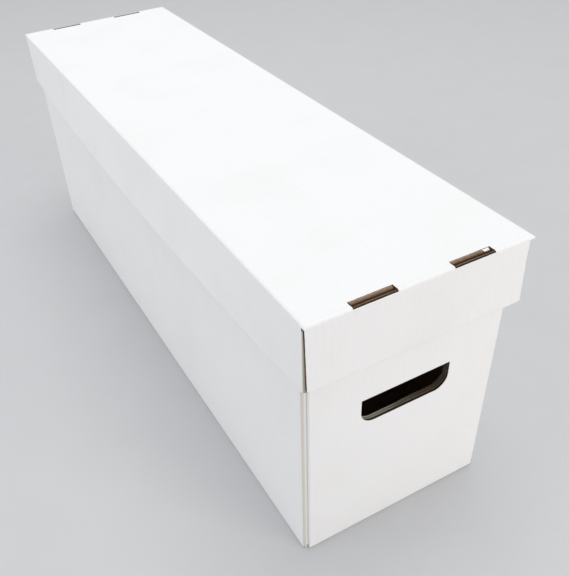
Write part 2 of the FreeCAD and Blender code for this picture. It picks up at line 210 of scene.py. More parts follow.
class Shader:
    """A material's node tree, with short calls for adding nodes and wiring them."""

    def __init__(self, name: str) -> None:
        """Makes an empty material with one principled surface."""
        self.material = bpy.data.materials.new(name)
        self.material.use_nodes = True
        self.tree = self.material.node_tree
        self.surface = self.tree.nodes["Principled BSDF"]
        self.place = self.add("ShaderNodeTexCoord").outputs["Object"]

    def add(self, kind: str, values: dict | None = None, **settings: object) -> bpy.types.Node:
        """Adds a node.

        Args:
            kind: The node's type.
            values: The constants on its inputs by name.
            settings: Properties of the node by name.

        Returns:
            The new node.
        """
        node = self.tree.nodes.new(kind)
        for key, value in settings.items():
            setattr(node, key, value)
        for key, value in (values or {}).items():
            node.inputs[key].default_value = value
        return node

    def wire(self, source: Socket, target: Socket) -> None:
        """Joins an output to an input."""
        self.tree.links.new(source, target)

    def attribute(self, name: str) -> Socket:
        """A value that the mesh holds for each point or corner."""
        return self.add("ShaderNodeAttribute", attribute_name=name).outputs["Fac"]

    def clouds(self, size: float, detail: float, stretch: Sequence[float] = (1, 1, 1)) -> Socket:
        """A soft noise.

        Args:
            size: Width of one cloud in metres.
            detail: Octaves of finer noise.
            stretch: How much longer the clouds are along each axis.

        Returns:
            The noise, from 0 to 1.
        """
        mapping = self.add("ShaderNodeMapping", {"Scale": [1 / longer for longer in stretch]})
        texture = self.add("ShaderNodeTexNoise", {"Scale": 1 / size, "Detail": detail})
        self.wire(self.place, mapping.inputs["Vector"])
        self.wire(mapping.outputs["Vector"], texture.inputs["Vector"])
        return texture.outputs["Fac"]

    def between(self, value: Socket, low: float, high: float, top: float = 1.0) -> Socket:
        """Spreads a value smoothly.

        Args:
            value: The value to spread.
            low: Where the result is 0.
            high: Where the result reaches its top.
            top: The most that the result can be.

        Returns:
            The spread value.
        """
        ends = {"From Min": low, "From Max": high, "To Max": top}
        spread = self.add("ShaderNodeMapRange", ends, interpolation_type="SMOOTHSTEP")
        self.wire(value, spread.inputs["Value"])
        return spread.outputs["Result"]

    def marks(self, tint: Tint) -> Socket:
        """How much of a tint shows."""
        noise_value = self.clouds(tint.size, tint.detail, tint.stretch)
        return self.between(noise_value, tint.start, tint.full, tint.most)

    def blend(self, first: object, second: object, share: Socket) -> Socket:
        """Mixes two colours.

        Args:
            first: A colour, or the output that gives one.
            second: The colour that the share brings in.
            share: How much of the second colour shows.

        Returns:
            The mixed colour.
        """
        mix = self.add("ShaderNodeMix", data_type="RGBA")
        for socket, colour in ((mix.inputs["A"], first), (mix.inputs["B"], second)):
            if isinstance(colour, Socket):
                self.wire(colour, socket)
            else:
                socket.default_value = (*colour, 1)
        self.wire(share, mix.inputs["Factor"])
        return mix.outputs["Result"]

    def paint(self, base: tuple, *tints: Tint) -> Socket:
        """Lays tints over a base colour.

        Args:
            base: The colour.
            tints: The tints, each over the one before.

        Returns:
            The painted colour.
        """
        for tint in tints:
            base = self.blend(base, tint.colour, self.marks(tint))
        return base

    def coat(self, colour: Socket, rough: float, gloss: float) -> None:
        """Gives the surface its colour and its sheen.

        Args:
            colour: The colour.
            rough: The roughness.
            gloss: The strength of the reflections.
        """
        self.wire(colour, self.surface.inputs["Base Color"])
        self.surface.inputs["Roughness"].default_value = rough
        self.surface.inputs["Specular IOR Level"].default_value = gloss

    def raise_by(self, height: Socket, distance: float) -> None:
        """Adds a bump under the ones already there.

        Args:
            height: The relief, from 0 to 1.
            distance: Its full height in metres.
        """
        bump = self.add("ShaderNodeBump", {"Distance": distance})
        self.wire(height, bump.inputs["Height"])
        normal = self.surface.inputs["Normal"]
        if normal.is_linked:
            self.wire(normal.links[0].from_socket, bump.inputs["Normal"])
        self.wire(bump.outputs["Normal"], normal)

    def emboss(self, *reliefs: Relief) -> None:
        """Raises soft bumps, one size after another."""
        for relief in reliefs:
            self.raise_by(self.clouds(relief.size, relief.detail), relief.depth)

    def rib(self, ribs: Ribs, depth: float) -> None:
        """Lets the flutes show faintly through a liner.

        Args:
            ribs: The direction in which the flutes follow each other.
            depth: How far the liner sinks between two of them, in metres.
        """
        # At a scale of 1 the texture has a band every tenth of pi metres.
        uneven = {"Scale": math.pi / 10 / BOARD.pitch, "Distortion": 0.25, "Detail": 1.0, "Detail Scale": 0.6}
        waves = self.add("ShaderNodeTexWave", uneven, wave_type="BANDS", bands_direction=ribs.value)
        self.wire(self.place, waves.inputs["Vector"])
        self.raise_by(waves.outputs["Fac"], depth)


@dataclass(frozen=True)
class WhiteLiner:
    """Bleached top liner: matt white, faintly clouded, with a few brown fibres and rubbed creases."""

    white: tuple = (0.865, 0.866, 0.868)
    cloud: Tint = Tint((0.815, 0.805, 0.79), 70 * MM, 0.45, 0.75, 0.35, 4)
    mottle: Tint = Tint((0.815, 0.805, 0.79), 3.5 * MM, 0.50, 0.80, 0.35, 3)
    fibre: Tint = Tint((0.56, 0.48, 0.40), 0.5 * MM, 0.73, 0.80, 0.55, 2, (1, 3, 1))
    rubbed: Tint = Tint((0.74, 0.71, 0.67), 1.3 * MM, 0.50, 0.72, 0.55, 4)
    # These two colours darken the liner where the mesh's attribute asks: painted shade in folds, gaps and
    # slots, and grime at the hand hole.
    handled: tuple = (0.640, 0.595, 0.520)
    grimy: tuple = (0.058, 0.042, 0.031)
    half_grimy: float = 0.5
    rough: tuple = (0.47, 0.65)
    rough_patch: float = 25 * MM
    gloss: float = 0.35
    rib_depth: float = 0.035 * MM
    nap: Relief = Relief(0.35 * MM, 0.012 * MM, 3)
    cockle: Relief = Relief(45 * MM, 0.35 * MM, 2)

    def make(self, ribs: Ribs) -> bpy.types.Material:
        """The finish for panels whose flutes follow each other in one direction.

        Args:
            ribs: That direction.

        Returns:
            The material.
        """
        shader = Shader(f"white_liner_{ribs.name.lower()}")
        worn = shader.add("ShaderNodeMath", operation="MULTIPLY")
        shader.wire(shader.attribute("crease"), worn.inputs[0])
        shader.wire(shader.marks(self.rubbed), worn.inputs[1])
        colour = shader.paint(self.white, self.cloud, self.mottle, self.fibre)
        colour = shader.blend(colour, self.rubbed.colour, worn.outputs[0])
        # Painted shade, with some grime at the hand hole: the attribute darkens the white towards the two
        # darker colours.
        grime = shader.attribute("grime")
        colour = shader.blend(colour, self.handled, shader.between(grime, 0.0, self.half_grimy))
        colour = shader.blend(colour, self.grimy, shader.between(grime, self.half_grimy, 1.0))
        least, most = self.rough
        shader.coat(colour, least, self.gloss)
        rough = shader.add("ShaderNodeMapRange", {"To Min": least, "To Max": most})
        shader.wire(shader.clouds(self.rough_patch, 5), rough.inputs["Value"])
        shader.wire(rough.outputs["Result"], shader.surface.inputs["Roughness"])
        shader.rib(ribs, self.rib_depth)
        shader.emboss(self.nap, self.cockle)
        return shader.material


@dataclass(frozen=True)
class KraftLiner:
    """Unbleached inner liner: brown, with darker and lighter fibres and the flutes showing."""

    brown: tuple = (0.380, 0.255, 0.155)
    dark: Tint = Tint((0.290, 0.190, 0.114), 9 * MM, 0.35, 0.75, 0.8, 5)
    pale: Tint = Tint((0.480, 0.345, 0.225), 0.9 * MM, 0.60, 0.75, 0.55, 3, (4, 1, 1))
    fleck: Tint = Tint((0.190, 0.122, 0.073), 0.7 * MM, 0.62, 0.74, 0.6, 3, (1, 4, 1))
    grimy: tuple = (0.070, 0.034, 0.018)
    rough: float = 0.8
    gloss: float = 0.25
    rib_depth: float = 0.09 * MM
    nap: Relief = Relief(0.5 * MM, 0.03 * MM, 4)

    def make(self, ribs: Ribs) -> bpy.types.Material:
        """The finish for panels whose flutes follow each other in one direction.

        Args:
            ribs: That direction.

        Returns:
            The material.
        """
        shader = Shader(f"kraft_liner_{ribs.name.lower()}")
        colour = shader.paint(self.brown, self.dark, self.pale, self.fleck)
        # Painted shade and grime: the attribute darkens the brown where it is pressed over the lid's tabs.
        shader.coat(shader.blend(colour, self.grimy, shader.attribute("grime")), self.rough, self.gloss)
        shader.rib(ribs, self.rib_depth)
        shader.emboss(self.nap)
        return shader.material


@dataclass(frozen=True)
class RawEdge:
    """Cut paper: the flutes and the cut edges of the liners, fuzzy and a little darker."""

    brown: tuple = (0.260, 0.170, 0.105)
    dark: Tint = Tint((0.150, 0.098, 0.062), 1.8 * MM, 0.4, 0.7, 1.0, 4)
    pale: Tint = Tint((0.440, 0.330, 0.235), 0.45 * MM, 0.58, 0.75, 0.7, 3)
    grimy: tuple = (0.030, 0.020, 0.014)
    rough: float = 0.92
    gloss: float = 0.15
    fuzz: Relief = Relief(0.3 * MM, 0.08 * MM, 4)

    def make(self) -> bpy.types.Material:
        """The finish of every cut and of the fluted sheet."""
        shader = Shader("raw_board_edge")
        colour = shader.paint(self.brown, self.dark, self.pale)
        # Painted shade in gaps, slots and the hand hole, with some grime there: the attribute darkens the
        # cuts.
        shader.coat(shader.blend(colour, self.grimy, shader.attribute("grime")), self.rough, self.gloss)
        shader.emboss(self.fuzz)
        return shader.material


@dataclass(frozen=True)
class Floor:
    """A plain pale studio floor."""

    colour: tuple = (0.60, 0.605, 0.615)
    speck: tuple = (0.57, 0.575, 0.585)
    speck_size: float = 60 * MM
    rough: float = 0.85
    gloss: float = 0.2
    half_width: float = 12.0

    def lay(self) -> None:
        """Makes the floor under the box."""
        shader = Shader("studio_floor")
        specked = shader.blend(self.colour, self.speck, shader.clouds(self.speck_size, 4))
        shader.coat(specked, self.rough, self.gloss)
        sheet = bmesh.new()
        bmesh.ops.create_grid(sheet, x_segments=4, y_segments=4, size=self.half_width)
        new_object("studio_floor", sheet, [shader.material])


def new_object(name: str, shape: bmesh.types.BMesh, materials: Sequence) -> bpy.types.Object:
    """Turns a finished bmesh into an object at the origin.

    Args:
        name: The object's name.
        shape: The bmesh, which is freed.
        materials: The object's materials, by slot.

    Returns:
        The new object, linked to the scene.
    """
    mesh = bpy.data.meshes.new(name)
    shape.to_mesh(mesh)
    shape.free()
    for material in materials:
        mesh.materials.append(material)
    made = bpy.data.objects.new(name, mesh)
    bpy.context.scene.collection.objects.link(made)
    return made


@dataclass(frozen=True)
class Cut:
    """A flat cut. What lies on the side that the normal points to is the waste."""

    point: Vector
    normal: Vector

    def wastes(self, place: Vector) -> bool:
        """True where a place lies in the waste."""
        return (place - self.point).dot(self.normal) > 0

    def deeper(self, more: float) -> "Cut":
        """The same cut, with more waste."""
        return Cut(self.point - self.normal * more, self.normal)


@dataclass(frozen=True)
class Notch:
    """A straight-sided hole: what lies in the waste of all its cuts goes. Extra cuts round its corners."""

    walls: tuple
    corners: tuple = ()


# How much grime and painted shade a place has, given how far in from the board's faces it lies.
GrimeAndShade = Callable[[Vector, float], float]


def window(low: Sequence[float], high: Sequence[float]) -> Notch:
    """A notch between two corners of a box. A side at FAR_AWAY is left open.

    Args:
        low: Its lowest corner.
        high: Its highest corner.

    Returns:
        The notch.
    """
    walls = []
    for axis, (start, stop) in enumerate(zip(low, high)):
        unit = Vector([float(axis == this) for this in range(3)])
        if start > -FAR_AWAY:
            walls.append(Cut(unit * start, unit))
        if stop < FAR_AWAY:
            walls.append(Cut(unit * stop, -unit))
    return Notch(tuple(walls))


@dataclass(frozen=True)
class HandHole:
    """The die-cut hand hole: a straight crease on top and rounded lower corners.

    Attributes:
        half_width: Half its width.
        top: How high its crease is.
        foot: How high its lower edge is.
        corner: The radius of its lower corners.
        inner_rise: How much higher the hole of the inner layers goes.
        inner_drop: How much lower it goes on one side.
        step_place: Where it steps down, beside the middle.
        step_width: How wide the step is.
        die_gap: The gap that the blade leaves round a flap.
        corner_steps: The count of cuts round a corner.
        layer_grime: How dark the inner layers' cuts are painted, with grime and painted shade, on the lighter
            side and on the darker side.
        edge_grime: The same for the outer layer's cut.
        grime_ramp: How steeply that darkening grows from one side to the other.
    """

    half_width: float = 45.0 * MM
    top: float = 168.4 * MM
    foot: float = 140.0 * MM
    corner: float = 14.0 * MM
    inner_rise: float = 3.5 * MM
    inner_drop: float = 1.2 * MM
    step_place: float = 2.4 * MM
    step_width: float = 6.0 * MM
    die_gap: float = 0.4 * MM
    corner_steps: int = 9
    layer_grime: tuple = (0.36, 0.98)
    edge_grime: tuple = (0.6, 0.9)
    grime_ramp: float = 1.5

    def outer(self) -> list:
        """What is punched out of the outer layer."""
        return [self.outline(self.half_width, self.top, self.foot, self.corner)]

    def inner(self, end: End) -> list:
        """What is punched out of the layers behind it, whose foot steps down on one side.

        Args:
            end: The end of the box that the hole is in.

        Returns:
            The higher hole, and the part of it that goes lower.
        """
        top, low = self.top + self.inner_rise, self.foot - self.inner_drop
        deep = self.outline(self.half_width, top, low, self.corner)
        way = ACROSS * end.value
        start = way * (self.step_width / 2 - self.step_place) + UP * low
        slope = Cut(start, (way * self.inner_drop + UP * self.step_width).normalized())
        return [
            self.outline(self.half_width, top, self.foot, self.corner),
            Notch((*deep.walls, slope), deep.corners),
        ]

    def grime(self, end: End, shares: tuple) -> GrimeAndShade:
        """How dark the hole's edges are painted, with grime and painted shade: least on the side where the
        step goes down.

        Args:
            end: The end of the box that the hole is in.
            shares: The share on the lighter side and on the darker side.

        Returns:
            The share for each place.
        """
        least, most = shares

        def share(place: Vector, inside: float) -> float:
            """The share at a place."""
            along = 0.5 - place.x * end.value / self.half_width / 2
            return inside * (least + (most - least) * min(1.0, max(0.0, self.grime_ramp * along)))

        return share

    def outline(self, half_width: float, top: float, foot: float, corner: float) -> Notch:
        """A notch with a straight top and two rounded lower corners.

        Args:
            half_width: Half its width.
            top: How high its top is.
            foot: How high its lower edge is.
            corner: The radius of its lower corners.

        Returns:
            The notch.
        """
        frame_cut = window((-half_width, -FAR_AWAY, foot), (half_width, FAR_AWAY, top))
        rounding = []
        for side in (-1, 1):
            centre = Vector((side * (half_width - corner), 0, foot + corner))
            for step in range(self.corner_steps):
                angles = [math.radians(90 * (step + extra) / self.corner_steps) for extra in (0, 1)]
                ways = [Vector((side * math.sin(turn), 0, -math.cos(turn))) for turn in angles]
                spots = [centre + corner * way for way in ways]
                middle = (spots[0] + spots[1]) / 2
                rounding.append(Cut(middle, (centre - middle).normalized()))
        return Notch(frame_cut.walls, tuple(rounding))


@dataclass
class Panel:
    """One flat panel of corrugated board, between the creases and cuts that bound it.

    Attributes:
        node: The CAD node that it stands for.
        outward: The way its white liner faces.
        flutes: The direction along its flutes.
        folds: The sides on which its outer liner turns over a full crease.
        meets: The sides, or planes, on which it ends against a neighbour's crease.
        cuts: Flat cuts that trim its outline.
        notches: Holes and notches punched out of it.
        curl: How far down the board's edge the outer liner is pressed over at a cut.
        curled: The cut sides that are pressed over so. If there are none, every cut is.
        tips: Cuts over which the inner liner is pressed.
        grime: How much grime and painted shade a place has, given how far in from the board's faces it lies,
            both from 0 to 1.
        trough: A place where the fluted sheet lies against the inner liner.
        corners: Its lowest and highest corner, if it isn't built where its node is.
        cell: Spacing of the liners' points.
        shape: Moves each point of the flat panel to where the bent board has it.
    """

    node: str
    outward: Vector
    flutes: Vector
    folds: Sequence[Vector] = ()
    meets: Sequence["Vector | Cut"] = ()
    cuts: Sequence[Cut] = ()
    notches: Sequence[Notch] = ()
    curl: float = 0.0
    curled: Sequence[Vector] = ()
    tips: Sequence[Cut] = ()
    grime: GrimeAndShade | None = None
    trough: Vector | None = None
    corners: tuple | None = None
    cell: float = 40 * MM
    shape: Callable[[Vector], Vector] | None = None
    fray_seed: float = field(init=False, default=0.0)

    def __post_init__(self) -> None:
        """Works out the panel's own axes: across the flutes, along them, and outward."""
        self.across = self.flutes.cross(self.outward)
        self.turn = Matrix((self.across, self.flutes, self.outward)).transposed().to_4x4()
        low, high = self.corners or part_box(self.node)
        ends = [self.turn.transposed() @ Vector(corner) for corner in (low, high)]
        self.low = Vector([min(pair) for pair in zip(*ends)])
        self.high = Vector([max(pair) for pair in zip(*ends)])
        self.fray_seed = sum(ord(letter) for letter in self.node) * 0.37

    def reach(self, way: Vector) -> float:
        """How far the panel goes in a world direction."""
        local = self.turn.transposed() @ way
        return max(local.dot(self.low), local.dot(self.high))

    def flat(self, level: float, inset: float, cells: tuple, margin: float = 0.0) -> bmesh.types.BMesh:
        """A flat grid over the panel.

        Args:
            level: Its height along the outward axis.
            inset: How far it stays inside the folded sides.
            cells: Its count of cells across and along.
            margin: How far it stays inside every side.

        Returns:
            The grid as a bmesh.
        """
        edge = Vector((margin, margin, 0))
        low, high = self.low + edge, self.high - edge
        for side in self.folds:
            local = self.turn.transposed() @ side
            for axis in range(2):
                if local[axis] > 0.5:
                    high[axis] -= inset
                elif local[axis] < -0.5:
                    low[axis] += inset
        middle = (low + high) / 2
        middle.z = level
        size = Matrix.Diagonal((high.x - low.x, high.y - low.y, 1, 1))
        sheet = bmesh.new()
        bmesh.ops.create_grid(
            sheet,
            x_segments=cells[0],
            y_segments=cells[1],
            size=0.5,
            matrix=self.turn @ Matrix.Translation(middle) @ size,
        )
        return sheet

    def grid_cells(self) -> tuple:
        """How many cells a liner has across and along."""
        span = self.high - self.low
        return max(1, round(span.x / self.cell)), max(1, round(span.y / self.cell))

    def outer_liner(self) -> bmesh.types.BMesh:
        """The white liner, turned over at the creases, pressed over and frayed at the cuts."""
        sheet = self.flat(self.high.z, 0.0, self.grid_cells())
        self.sink_creases(sheet)
        self.turn_over(sheet)
        self.punch(sheet)
        self.merge_cells(sheet)
        if self.curl:
            self.press_over(sheet)
        self.fray(sheet, self.high.z)
        self.bend(sheet)
        return thicken(sheet, BOARD.liner, Side.WHITE)

    def inner_liner(self) -> bmesh.types.BMesh:
        """The brown liner on the other face."""
        sheet = self.flat(self.low.z, BOARD.thickness, self.grid_cells())
        self.punch(sheet)
        self.merge_cells(sheet)
        if self.tips:
            tips = [edge for edge in sheet.edges if edge.is_boundary and self.on_side(edge, self.tips)]
            self.lip(sheet, tips, self.low.z + BOARD.tab_press, BOARD.thickness / 2, BOARD.press_steps)
        self.fray(sheet, self.low.z)
        self.bend(sheet)
        bmesh.ops.reverse_faces(sheet, faces=sheet.faces[:])
        return thicken(sheet, BOARD.liner, Side.KRAFT)

    def medium(self) -> bmesh.types.BMesh:
        """The fluted sheet between the liners, cut off wherever the panel is."""
        span = self.high - self.low
        flutes = span.x / BOARD.pitch
        cells = (max(4, round(flutes * BOARD.steps_per_flute)), max(1, round(span.y / self.cell)))
        margin = BOARD.press_room if self.curl else BOARD.cut_room
        sheet = self.flat((self.low.z + self.high.z) / 2, BOARD.crease_radius, cells, margin)
        start = self.trough or Vector()
        for spot in sheet.verts:
            turns = self.across.dot(spot.co - start) / BOARD.pitch
            spot.co += self.outward * (BOARD.medium / 2 - BOARD.swing * math.cos(math.tau * turns))
        self.punch(sheet, BOARD.press_room if self.curl and not self.curled else 0.0)
        weld(sheet)
        grown = bmesh.ops.extrude_face_region(sheet, geom=sheet.faces[:])["geom"]
        under = [part for part in grown if isinstance(part, bmesh.types.BMVert)]
        bmesh.ops.translate(sheet, verts=under, vec=-self.outward * BOARD.medium)
        self.bend(sheet)
        return closed(sheet, Side.RAW)

    def sink_creases(self, sheet: bmesh.types.BMesh) -> None:
        """Presses a shallow trough along each crease, as the scoring wheel leaves it.

        Args:
            sheet: The outer liner, still flat. Across a strip of under three troughs it has none.
        """
        start, width, steps = BOARD.crease_radius + BOARD.trough_gap, BOARD.trough_width, BOARD.trough_steps
        roomy = [side for side in self.folds if self.reach(side) + self.reach(-side) > 3 * (start + width)]
        for side in roomy:
            edge = self.reach(side)
            for step in range(steps + 1):
                split(sheet, Cut(side * (edge - start - width * step / steps), side), sheet.faces[:])
        for spot in sheet.verts:
            sink = 0.0
            for side in roomy:
                share = (self.reach(side) - side.dot(spot.co) - start) / width
                if 0 < share < 1:
                    sink = max(sink, BOARD.trough_depth * math.sin(math.pi * share) ** 2)
            spot.co -= self.outward * sink

    def turn_over(self, sheet: bmesh.types.BMesh) -> None:
        """Turns the outer liner over each fold, through the board's thickness."""
        rims = [edge for edge in sheet.edges if edge.is_boundary and self.on_side(edge, self.folds)]
        self.lip(sheet, rims, self.low.z, BOARD.crease_radius, BOARD.crease_steps)

    def lip(self, sheet: bmesh.types.BMesh, rims: list, foot: float, radius: float, steps: int) -> None:
        """Bends a liner over the board's edge along some of its rims.

        Args:
            sheet: The liner.
            rims: The edges that it bends at.
            foot: Where the lip ends along the outward axis.
            radius: The radius of the bend.
            steps: The count of faces round the bend.
        """
        grown = bmesh.ops.extrude_edge_only(sheet, edges=rims)["geom"]
        for part in grown:
            if isinstance(part, bmesh.types.BMVert):
                part.co += self.outward * (foot - self.outward.dot(part.co))
        sheet.normal_update()
        bmesh.ops.bevel(
            sheet,
            geom=[edge for edge in rims if edge.is_valid],
            offset=radius,
            offset_type="OFFSET",
            segments=steps,
            profile=0.5,
            affect="EDGES",
            material=-1,
        )

    def press_over(self, sheet: bmesh.types.BMesh) -> None:
        """Bends the outer liner over its cuts, as a blunt die leaves it.

        Args:
            sheet: The liner, already punched.
        """
        rims = self.raw_rims(sheet, self.high.z)
        if self.curled:
            rims = [edge for edge in rims if self.on_side(edge, self.curled)]
        self.lip(sheet, rims, self.high.z - self.curl, BOARD.press_radius, BOARD.press_steps)

    def on_side(self, edge: bmesh.types.BMEdge, sides: Sequence["Vector | Cut"]) -> bool:
        """Tells whether an edge lies on one of the panel's sides, or on one of some planes.

        Args:
            edge: The edge.
            sides: The sides, as ways, and the planes, as cuts.

        Returns:
            True if it does.
        """
        for side in sides:
            plane = side if isinstance(side, Cut) else Cut(side * self.reach(side), side)
            if all(abs((spot.co - plane.point).dot(plane.normal)) < TOUCH for spot in edge.verts):
                return True
        return False

    def punch(self, sheet: bmesh.types.BMesh, more: float = 0.0) -> None:
        """Trims the sheet to its outline and punches its holes.

        Args:
            sheet: The sheet.
            more: How much further every cut goes.
        """
        for cut in self.cuts:
            parts = sheet.verts[:] + sheet.edges[:] + sheet.faces[:]
            cut = cut.deeper(more)
            bmesh.ops.bisect_plane(
                sheet, geom=parts, dist=TOUCH, plane_co=cut.point, plane_no=cut.normal, clear_outer=True
            )
        for notch in self.notches:
            walls = [wall.deeper(more) for wall in notch.walls]
            corners = [wall.deeper(more) for wall in notch.corners]
            for wall in walls:
                split(sheet, wall, sheet.faces[:])
            for wall in corners:
                split(sheet, wall, [face for face in sheet.faces if wasted(face, walls)])
            gone = [face for face in sheet.faces if wasted(face, walls + corners)]
            bmesh.ops.delete(sheet, geom=gone, context="FACES")

    def merge_cells(self, sheet: bmesh.types.BMesh) -> None:
        """Joins the level cells that cutting leaves, so that no narrow ones stay beside a rim.

        Args:
            sheet: The liner. One that is bent later keeps its cells.
        """
        weld(sheet)
        if self.shape is None and (self.cuts or self.notches):
            level = math.radians(0.3)
            bmesh.ops.dissolve_limit(sheet, angle_limit=level, verts=sheet.verts[:], edges=sheet.edges[:])

    def raw_rims(self, sheet: bmesh.types.BMesh, level: float) -> list:
        """The edges that a blade has cut, on one face.

        Args:
            sheet: The liner.
            level: The face's height along the outward axis.

        Returns:
            The edges.
        """
        hidden, near = [*self.folds, *self.meets], 0.5 * MM
        found = []
        for edge in sheet.edges:
            heights = [self.outward.dot(spot.co) for spot in edge.verts]
            if edge.is_boundary and max(abs(height - level) for height in heights) < near:
                if not self.on_side(edge, hidden):
                    found.append(edge)
        return found

    def fray(self, sheet: bmesh.types.BMesh, level: float) -> None:
        """Makes the cut edges of a liner slightly uneven.

        Args:
            sheet: The liner.
            level: The height of its face along the outward axis.
        """
        for edge in self.raw_rims(sheet, level):
            count = int(edge.calc_length() / BOARD.fray_step)
            if count:
                bmesh.ops.subdivide_edges(sheet, edges=[edge], cuts=count)
        sheet.normal_update()
        listed = self.raw_rims(sheet, level)
        rims, pushes = set(listed), {}
        for edge in listed:
            loop = edge.link_loops[0]
            along = loop.link_loop_next.vert.co - loop.vert.co
            inward = loop.face.normal.cross(along).normalized()
            for spot in edge.verts:
                pushes[spot] = pushes.get(spot, Vector()) + inward
        for spot, inward in pushes.items():
            if all(edge in rims for edge in spot.link_edges if edge.is_boundary):
                amount = abs(noise.noise(spot.co * BOARD.fray_waves + Vector((self.fray_seed, 0, 0)))) * 2
                spot.co += inward.normalized() * BOARD.fray_depth * min(1.0, amount)

    def bend(self, sheet: bmesh.types.BMesh) -> None:
        """Moves every point to where the bent board has it."""
        if self.shape is not None:
            for spot in sheet.verts:
                spot.co = self.shape(spot.co)

    def build(self) -> bmesh.types.BMesh:
        """The whole panel, as one bmesh of three closed sheets."""
        whole = bmesh.new()
        for sheet in (self.outer_liner(), self.inner_liner(), self.medium()):
            scratch = bpy.data.meshes.new("scratch")
            sheet.to_mesh(scratch)
            sheet.free()
            whole.from_mesh(scratch)
            bpy.data.meshes.remove(scratch)
        return whole

    def crease_share(self, place: Vector) -> float:
        """How near a place is to a crease, from 0 to 1."""
        shares = [1 - abs(self.reach(side) - side.dot(place)) / BOARD.wear_width for side in self.folds]
        return max([0.0, *shares])

    def grime_share(self, place: Vector, side: Side) -> float:
        """How much grime and painted shade a place has.

        Args:
            place: A corner of a face of the flat or bent panel.
            side: What that face is made of.

        Returns:
            The share, from 0 to 1.
        """
        if self.grime is None:
            return 0.0
        if side is Side.RAW:
            return self.grime(place, 1.0)
        height = self.outward.dot(place)
        depth = self.high.z - height if side is Side.WHITE else height - self.low.z
        start, full = BOARD.grime_depths
        return self.grime(place, min(1.0, max(0.0, depth - start) / (full - start)))


def weld(sheet: bmesh.types.BMesh, near: float = 0.05 * MM, sliver: float = 0.02 * MM) -> None:
    """Joins points that two cuts have left almost in one place.

    Args:
        sheet: The sheet.
        near: The distance under which two points are joined.
        sliver: The length under which an edge is taken away.
    """
    bmesh.ops.remove_doubles(sheet, verts=sheet.verts[:], dist=near)
    bmesh.ops.dissolve_degenerate(sheet, dist=sliver, edges=sheet.edges[:])


def split(sheet: bmesh.types.BMesh, cut: Cut, faces: list) -> None:
    """Divides faces along a cut, and keeps both halves.

    Args:
        sheet: The sheet.
        cut: Where it is divided.
        faces: The faces that it may divide.
    """
    parts = {part for face in faces for part in (*face.verts, *face.edges, face)}
    bmesh.ops.bisect_plane(sheet, geom=list(parts), dist=TOUCH, plane_co=cut.point, plane_no=cut.normal)


def wasted(face: bmesh.types.BMFace, cuts: Sequence[Cut]) -> bool:
    """True if the middle of a face lies in the waste of every cut."""
    middle = face.calc_center_median()
    return all(cut.wastes(middle) for cut in cuts)


def thicken(sheet: bmesh.types.BMesh, depth: float, side: Side) -> bmesh.types.BMesh:
    """Gives a sheet its thickness, away from the way it faces, with raw paper on its hidden side.

    Args:
        sheet: The open sheet.
        depth: The thickness.
        side: What its face is made of.

    Returns:
        The same bmesh, closed.
    """
    skin = set(sheet.faces)
    sheet.normal_update()
    bmesh.ops.solidify(sheet, geom=list(skin), thickness=depth)
    rims = {edge for face in skin for edge in face.edges}
    hidden = [face for face in sheet.faces if face not in skin and rims.isdisjoint(face.edges)]
    closed(sheet, side)
    for face in hidden:
        face.material_index = Side.RAW.value
    return sheet


def closed(sheet: bmesh.types.BMesh, side: Side) -> bmesh.types.BMesh:
    """Finishes a closed sheet: one material, smooth, its normals outward.

    Args:
        sheet: The sheet.
        side: What its faces are made of.

    Returns:
        The same bmesh.
    """
    for face in sheet.faces:
        face.material_index = side.value
        face.smooth = True
    bmesh.ops.recalc_face_normals(sheet, faces=sheet.faces[:])
    return sheet


class Stock:
    """The finishes, made once, and the way a panel becomes a dressed object."""

    SMOOTH_BELOW = math.radians(32)

    def __init__(self) -> None:
        """Makes the materials."""
        raw = RawEdge().make()
        self.finishes = {ribs: [WhiteLiner().make(ribs), KraftLiner().make(ribs), raw] for ribs in Ribs}
        self.plain = self.finishes[Ribs.ACROSS_BOX]

    def dress(self, panel: Panel, body: str) -> bpy.types.Object:
        """Builds a panel and puts it in place of its CAD node.

        Args:
            panel: The panel.
            body: The body that it moves with.

        Returns:
            The finished piece.
        """
        ribs = Ribs.UP_THE_SIDE if abs(panel.across.z) > 0.5 else Ribs.ACROSS_BOX
        piece = new_object(f"{panel.node}_board", panel.build(), self.finishes[ribs])
        crease = piece.data.attributes.new("crease", "FLOAT", "POINT")
        crease.data.foreach_set("value", [panel.crease_share(spot.co) for spot in piece.data.vertices])
        # The attribute holds painted shade for folds, gaps, slots and the hand hole, and grime at the hand
        # hole.
        shares = []
        for face in piece.data.polygons:
            side = Side(face.material_index)
            shares += [panel.grime_share(piece.data.vertices[corner].co, side) for corner in face.vertices]
        piece.data.attributes.new("grime", "FLOAT", "CORNER").data.foreach_set("value", shares)
        piece.data.set_sharp_from_angle(angle=self.SMOOTH_BELOW)
        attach(piece, body)
        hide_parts(panel.node)
        log.info("%s: %d faces", piece.name, len(piece.data.polygons))
        return piece


